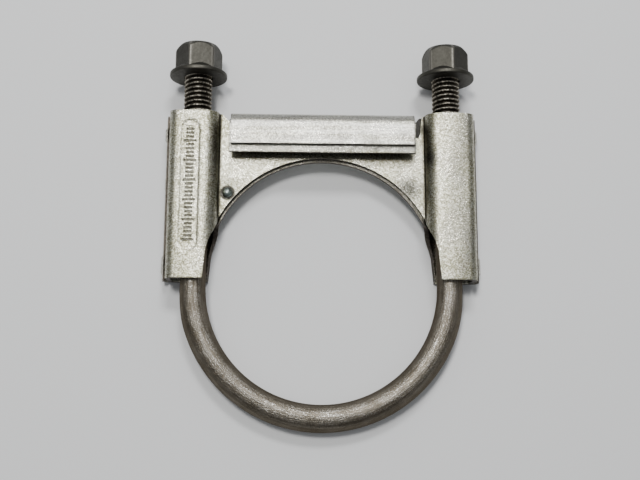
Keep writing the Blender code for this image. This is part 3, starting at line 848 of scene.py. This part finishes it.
# %% Group: drawn streaks
def make_streak_group():
    """Long scratches: noise on a point whose lengthwise part is squeezed, so every spot is drawn out into a line."""
    group, start, end = new_group("drawn_streaks", [("Point", VECTOR, None), ("Width per metre", FLOAT, 1500.0),
                                                    ("Stretch", FLOAT, 0.03)],
                                  [("Streak", FLOAT), ("Scratch", FLOAT), ("Stain", FLOAT)])
    parts = group.nodes.new("ShaderNodeSeparateXYZ")
    link(group, start.outputs["Point"], parts.inputs["Vector"])
    squeezed = group.nodes.new("ShaderNodeCombineXYZ")
    link(group, parts.outputs["X"], squeezed.inputs["X"])
    link(group, parts.outputs["Y"], squeezed.inputs["Y"])
    link(group, times(group, parts.outputs["Z"], start.outputs["Stretch"]), squeezed.inputs["Z"])
    wide = group.nodes.new("ShaderNodeTexNoise")
    wide.inputs["Detail"].default_value = 4.0
    link(group, squeezed.outputs["Vector"], wide.inputs["Vector"])
    link(group, start.outputs["Width per metre"], wide.inputs["Scale"])
    thin = group.nodes.new("ShaderNodeTexNoise")
    thin.inputs["Detail"].default_value = 2.0
    link(group, squeezed.outputs["Vector"], thin.inputs["Vector"])
    link(group, times(group, start.outputs["Width per metre"], 3.5), thin.inputs["Scale"])
    link(group, remap(group, wide.outputs["Fac"], 0.35, 0.65), end.inputs["Streak"])
    link(group, remap(group, thin.outputs["Fac"], 0.40, 0.62), end.inputs["Scratch"])
    link(group, remap(group, noise(group, start.outputs["Point"], 160.0, 6.0, 0.62), 0.40, 0.66), end.inputs["Stain"])
    return group


streak_group = make_streak_group()

# %% Material builder
def new_steel(name, roughness):
    """A metallic material with its object coordinates; returns the material, its tree, shader and point socket."""
    mat = bpy.data.materials.new(name)
    mat.use_nodes = True
    tree = mat.node_tree
    shader = tree.nodes["Principled BSDF"]
    shader.inputs["Metallic"].default_value = 1.0
    shader.inputs["Roughness"].default_value = roughness
    where = tree.nodes.new("ShaderNodeTexCoord").outputs["Object"]
    return mat, tree, shader, where


def attribute(tree, name, vector=False):
    """Reads back a fact that a mesh carries at its points."""
    node = tree.nodes.new("ShaderNodeAttribute")
    node.attribute_name = name
    return node.outputs["Vector" if vector else "Fac"]


def add_relief(tree, shader, height, distance, strength=1.0):
    """A Bump node that feeds the shader's normal."""
    bump = tree.nodes.new("ShaderNodeBump")
    bump.inputs["Strength"].default_value = strength
    bump.inputs["Distance"].default_value = distance
    link(tree, height, bump.inputs["Height"])
    link(tree, bump.outputs["Normal"], shader.inputs["Normal"])


def near(tree, where, centre, radius, soft):
    """Mask that is 1 within radius of a point and fades out over soft."""
    gap = tree.nodes.new("ShaderNodeVectorMath")
    gap.operation = "DISTANCE"
    link(tree, where, gap.inputs[0])
    gap.inputs[1].default_value = centre
    return remap(tree, gap.outputs["Value"], radius, radius + soft, 1.0, 0.0)


# %% [markdown]
# ### Plated sheet
#
# The saddle is thinly plated, and the plating has aged: silvery, with a warm green-yellow cast in
# patches and a fine sparkle from the grain of the sheet. Sheared edges show bare, browner steel.
# The weld heat beside the cradle has left a dark patch on one web.

# %% Group: stamped marks
def make_marks_group():
    """Cross bars pressed in a column, like a rule: the height along the column is cut into equal cells with one
    bar each, and every fifth bar is longer."""
    group, start, end = new_group("stamped_marks", [("Point", VECTOR, None), ("Middle", FLOAT, 0.0),
                                                    ("Low", FLOAT, 0.0), ("High", FLOAT, 0.04)], [("Mark", FLOAT)])
    parts = group.nodes.new("ShaderNodeSeparateXYZ")
    link(group, start.outputs["Point"], parts.inputs["Vector"])
    run = math_node(group, "DIVIDE", math_node(group, "SUBTRACT", parts.outputs["Y"], start.outputs["Low"]), 1.35 * MM)
    fifth = math_node(group, "LESS_THAN", math_node(group, "FRACT", math_node(group, "DIVIDE", run, 5.0)), 0.2)
    half = math_node(group, "ADD", times(group, fifth, 0.75 * MM), 1.2 * MM)
    across = math_node(group, "ABSOLUTE", math_node(group, "SUBTRACT", parts.outputs["X"], start.outputs["Middle"]))
    beyond = math_node(group, "SUBTRACT", across, half)
    along = math_node(group, "ABSOLUTE", math_node(group, "SUBTRACT", math_node(group, "FRACT", run), 0.5))
    bar = times(group, remap(group, along, 0.20, 0.34, 1.0, 0.0), remap(group, beyond, 0.0, 0.25 * MM, 1.0, 0.0))
    inside = times(group, math_node(group, "GREATER_THAN", parts.outputs["Y"], start.outputs["Low"]),
                       math_node(group, "LESS_THAN", parts.outputs["Y"], start.outputs["High"]))
    link(group, times(group, bar, inside), end.inputs["Mark"])
    return group


marks_group = make_marks_group()

# %% Plated sheet
def add_fold_streaks(tree, where, color):
    """Bright rub lines along the folded edge, where the press has ironed the sheet: streaks that run along X."""
    parts = tree.nodes.new("ShaderNodeSeparateXYZ")
    link(tree, where, parts.inputs["Vector"])
    turned_point = tree.nodes.new("ShaderNodeCombineXYZ")
    for source, target in (("Y", "X"), ("Z", "Y"), ("X", "Z")):
        link(tree, parts.outputs[source], turned_point.inputs[target])
    streak = place_group(tree, streak_group, Point=turned_point.outputs["Vector"], Width_per_metre=800.0, Stretch=0.03)
    folded = attribute(tree, "folded")
    bright = times(tree, times(tree, streak.outputs["Streak"], 0.45), folded)
    dull = times(tree, times(tree, streak.outputs["Scratch"], 0.40), folded)
    return blend_colors(tree, dull, blend_colors(tree, bright, color, (0.84, 0.83, 0.81)), (0.25, 0.245, 0.23))


def make_plated(name, light, warm, dark, spots, shine, edge_darkening, marks=None):
    """Silvery plating over grainy sheet. spots is a list of (centre, radius, soft, strength) dark spots, real stains
    and painted shade; the number after shine is how dark the last millimetre before a cut edge is coloured, and marks
    gives the middle, the low end, the high end and the least Z of a stamped column. The channel creases and the web
    under the lip get painted shade."""
    mat, tree, shader, where = new_steel(name, 0.35)
    grain = place_group(tree, grain_group, Point=where, Grain_per_metre=3000.0)
    base = blend_colors(tree, grain.outputs["Blotch"], light, warm)
    speckled = blend_colors(tree, remap(tree, grain.outputs["Speckle"], 0.45, 1.0, 0.0, 0.85), base, dark)
    speckled = blend_colors(tree, remap(tree, grain.outputs["Speckle"], 0.40, 0.0, 0.0, 0.75), speckled, (0.86, 0.85, 0.77))
    speckled = add_fold_streaks(tree, where, speckled)
    # painted shade: the channel creases and the web under the lip turn near black, a little unevenly
    painted_shade_amount = times(tree, attribute(tree, "painted_shade"), remap(tree, grain.outputs["Blotch"], 0, 1, 0.55, 0.85))
    color = blend_colors(tree, painted_shade_amount, speckled, (0.07, 0.062, 0.045))
    # colours the last millimetre before the cradle's cut edge darker
    edge_darkening_amount = times(tree, remap(tree, attribute(tree, "edge"), 0.5, 1.5, 1.0, 0.0), edge_darkening)
    color = blend_colors(tree, edge_darkening_amount, color, (0.05, 0.043, 0.035))
    # each spot darkens the colour towards near black: some are real stains, some painted shade round the rivet head and
    # behind the torn notch
    for centre, radius, soft, strength in spots:
        stain_and_shade = times(tree, near(tree, where, centre, radius, soft), strength)
        color = blend_colors(tree, stain_and_shade, color, (0.018, 0.017, 0.016))
    height = grain.outputs["Height"]
    if marks:
        stamp = place_group(tree, marks_group, Point=where, Middle=marks[0], Low=marks[1], High=marks[2]).outputs["Mark"]
        front = tree.nodes.new("ShaderNodeSeparateXYZ")
        link(tree, where, front.inputs["Vector"])
        stamp = times(tree, stamp, math_node(tree, "GREATER_THAN", front.outputs["Z"], marks[3]))
        color = blend_colors(tree, times(tree, stamp, 0.85), color, (0.03, 0.027, 0.022))
        height = math_node(tree, "SUBTRACT", height, times(tree, stamp, 2.0))
    link(tree, color, shader.inputs["Base Color"])
    rough = math_node(tree, "ADD", remap(tree, grain.outputs["Speckle"], 0.0, 1.0, shine, shine + 0.14),
                      times(tree, grain.outputs["Blotch"], 0.08), clamp=True)
    link(tree, rough, shader.inputs["Roughness"])
    add_relief(tree, shader, height, 0.085 * MM, 1.0)
    return mat


def make_edge_steel(name, low, high, roughness):
    """Bare steel of a cut edge: blotched between two colours, with the same grain as the sheet."""
    mat, tree, shader, where = new_steel(name, roughness)
    grain = place_group(tree, grain_group, Point=where, Grain_per_metre=2300.0)
    link(tree, blend_colors(tree, grain.outputs["Speckle"], low, high), shader.inputs["Base Color"])
    add_relief(tree, shader, grain.outputs["Height"], 0.12 * MM, 0.7)
    return mat


front_z, back_z = AXIS_Z + GAP / 2 + SHEET, AXIS_Z - GAP / 2 - SHEET
# painted shade, partly heat discolouration: a near black ring round the rivet head on the front web
rivet_ring_shade_and_burn = ((RIVET.x, RIVET.y, front_z), 2.3 * MM, 0.6 * MM, 0.95)
rivet_heat = ((RIVET.x + 1.0 * MM, RIVET.y + 2.6 * MM, front_z), 0.8 * MM, 3.6 * MM, 0.40)
weld_heat = ((-RIVET.x - 2.7 * MM, RIVET.y + 2.0 * MM, front_z), 1.3 * MM, 4.4 * MM, 0.80)
corner_heat = ((CHANNEL_IN + 1.2 * MM, SADDLE_TOP - 15.5 * MM, front_z + 3.5 * MM), 1.0 * MM, 3.6 * MM, 0.7)
# painted shadow: a near black spot on the back sheet behind the torn notch, and a dark ring on the front sheet round
# it, where the opening lies in deep shade
notch_shadow_centre = (LIP_HALF + 1.2 * MM, SADDLE_TOP - 4.6 * MM)
notch_shadow_front = ((*notch_shadow_centre, front_z), 1.6 * MM, 1.4 * MM, 0.80)
notch_shadow_back = ((*notch_shadow_centre, AXIS_Z - GAP / 2), 4.6 * MM, 1.5 * MM, 0.98)
slot_marks = (-44.5 * MM, SADDLE_TOP - 45.2 * MM, SADDLE_TOP - 5.6 * MM, AXIS_Z + CHANNEL_Z - SHEET)
plated_front = make_plated("plated_sheet_front", (0.475, 0.465, 0.375), (0.40, 0.39, 0.26), (0.145, 0.135, 0.095),
                           [rivet_ring_shade_and_burn, rivet_heat, weld_heat, corner_heat, notch_shadow_front], 0.24, 0.0, slot_marks)
# on the back sheet, a near black ring round the rivet's other head is painted shade, partly heat discolouration
plated_back = make_plated("plated_sheet_back", (0.49, 0.48, 0.42), (0.41, 0.40, 0.31), (0.155, 0.145, 0.12),
                          [((RIVET.x, RIVET.y, back_z), 2.0 * MM, 0.8 * MM, 0.9), notch_shadow_back], 0.25, 0.8)
sheared = make_edge_steel("sheared_edge", (0.040, 0.034, 0.029), (0.11, 0.095, 0.08), 0.5)
burnished = make_edge_steel("burnished_edge", (0.26, 0.245, 0.22), (0.66, 0.64, 0.60), 0.30)
for shell, plated in ((shell_front, plated_front), (shell_back, plated_back)):
    for finish in (plated, sheared, burnished):
        shell.data.materials.append(finish)

# %% [markdown]
# ### Rod, thread, nuts and rivet
#
# The rod keeps the skin of the mill: brown-grey, rubbed bright in lines along its length. The rub lines are
# kept to the top and the inner side, so they are also a painted highlight, and the rod's sides are coloured darker
# as painted shade. The thread is coloured near black in its grooves and light on its crests. The nuts have a
# dark, olive-grey coating that is satin on the flats and worn at the corners.

# %% Rod steel
def make_rod_steel():
    mat, tree, shader, where = new_steel("rod_steel", 0.32)
    along = attribute(tree, "rod_space", vector=True)
    streak = place_group(tree, streak_group, Point=along, Width_per_metre=900.0, Stretch=0.05)
    parts = tree.nodes.new("ShaderNodeSeparateXYZ")
    link(tree, along, parts.inputs["Vector"])
    # painted highlight: the bright rub lines are kept to the top and bottom of the rod and mostly to its inner side,
    # where the bright streak of reflection lies; the scratch pattern itself is wear
    top = remap(tree, math_node(tree, "ABSOLUTE", parts.outputs["Y"]), 2.8 * MM, 4.2 * MM)
    inner = remap(tree, parts.outputs["X"], -0.6 * MM, 2.6 * MM, 1.0, 0.25)
    skin = blend_colors(tree, streak.outputs["Streak"], (0.150, 0.130, 0.100), (0.27, 0.243, 0.200))
    fleck = remap(tree, noise(tree, where, 2400.0, 2.0, 0.6), 0.44, 0.60)
    rub_and_highlight = times(tree, times(tree, streak.outputs["Scratch"], fleck), times(tree, top, inner))
    rubbed_and_highlight = blend_colors(tree, rub_and_highlight, skin, (0.66, 0.64, 0.60))
    stained = blend_colors(tree, times(tree, streak.outputs["Stain"], 0.50), rubbed_and_highlight, (0.088, 0.071, 0.047))
    # painted shade: the rod's two sides, where its surface turns away from the camera, are coloured darker to hold down
    # the pale floor's reflection
    painted_side_shade = remap(tree, math_node(tree, "ABSOLUTE", parts.outputs["X"]), 3.0 * MM, 4.2 * MM, 0.0, 0.75)
    stained = blend_colors(tree, painted_side_shade, stained, (0.050, 0.040, 0.030))
    # the thread is coloured near black in its grooves and light on its crests, with the crests broken up by noise
    crest_tone = times(tree, attribute(tree, "crest"), remap(tree, noise(tree, where, 1700.0), 0.42, 0.58, 0.15, 1.0))
    thread_tone = blend_colors(tree, crest_tone, (0.036, 0.031, 0.024), (0.60, 0.56, 0.48))
    color = blend_colors(tree, attribute(tree, "threaded"), stained, thread_tone)
    link(tree, color, shader.inputs["Base Color"])
    rough = remap(tree, fleck, 0.0, 1.0, 0.44, 0.30)
    link(tree, rough, shader.inputs["Roughness"])
    relief = math_node(tree, "ADD", streak.outputs["Scratch"], times(tree, fleck, 1.6))
    add_relief(tree, shader, relief, 0.035 * MM, 0.8)
    shader.inputs["Specular Tint"].default_value = (0.55, 0.53, 0.50, 1.0)
    return mat


def make_nut_steel():
    mat, tree, shader, where = new_steel("nut_steel", 0.42)
    grain = place_group(tree, grain_group, Point=where, Grain_per_metre=1500.0)
    coat = blend_colors(tree, grain.outputs["Blotch"], (0.058, 0.056, 0.048), (0.085, 0.082, 0.071))
    worn = times(tree, attribute(tree, "corner"), 0.30)
    color = blend_colors(tree, worn, coat, (0.42, 0.40, 0.36))
    link(tree, color, shader.inputs["Base Color"])
    rough = remap(tree, grain.outputs["Speckle"], 0.0, 1.0, 0.46, 0.56)
    link(tree, rough, shader.inputs["Roughness"])
    add_relief(tree, shader, grain.outputs["Height"], 0.045 * MM, 0.5)
    return mat


def make_rivet_steel():
    mat, tree, shader, where = new_steel("rivet_steel", 0.33)
    grain = place_group(tree, grain_group, Point=where, Grain_per_metre=2200.0)
    color = blend_colors(tree, grain.outputs["Blotch"], (0.22, 0.27, 0.255), (0.36, 0.41, 0.385))
    link(tree, color, shader.inputs["Base Color"])
    link(tree, remap(tree, grain.outputs["Speckle"], 0.0, 1.0, 0.26, 0.40), shader.inputs["Roughness"])
    add_relief(tree, shader, grain.outputs["Height"], 0.12 * MM, 0.6)
    return mat


bent_rod.data.materials.append(make_rod_steel())
nut_steel = make_nut_steel()
for piece in nuts + flanges:
    piece.data.materials.append(nut_steel)
rivet.data.materials.append(make_rivet_steel())

# %% Floor paper
def make_paper():
    mat = bpy.data.materials.new("pale_paper")
    mat.use_nodes = True
    shader = mat.node_tree.nodes["Principled BSDF"]
    shader.inputs["Base Color"].default_value = (0.84, 0.85, 0.865, 1.0)
    shader.inputs["Roughness"].default_value = 0.85
    return mat


floor.data.materials.append(make_paper())

# %% [markdown]
# ## The solids' box
#
# The last lines print the box of the solids, in millimetres.

# %% Print the sizes
bpy.context.view_layer.update()
print("solids, mm:", [[round(c / MM, 2) for c in corner] for corner in cad_box])
